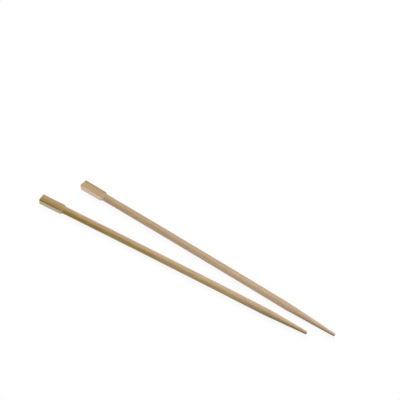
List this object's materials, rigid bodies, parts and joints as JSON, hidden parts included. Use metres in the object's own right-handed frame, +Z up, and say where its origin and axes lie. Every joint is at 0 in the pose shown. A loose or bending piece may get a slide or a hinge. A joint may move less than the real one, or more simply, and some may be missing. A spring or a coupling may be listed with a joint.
{
  "type": "bamboo chopsticks",
  "caption": "Loose bamboo chopsticks with square split heads, sloped shoulders, round shafts and long blunt points, laid side by side; a disposable eating utensil.",
  "frame": {"origin": "middle of the pair's box, on the surface that the sticks lie on", "axes": "+X along the pair from the heads to the tips, +Y from the front stick to the back stick, +Z up"},
  "size_m": [0.2264, 0.0316, 0.0046],
  "materials": {
    "bamboo_olive": "raw milled bamboo, olive towards the skin side, with a pale split face on the head",
    "bamboo_tan": "raw milled bamboo, pinkish tan, with a pale split face on the head"
  },
  "bodies": {
    "root": {"front_chopstick": "bamboo_olive", "back_chopstick": "bamboo_tan"}
  },
  "joints": []
}
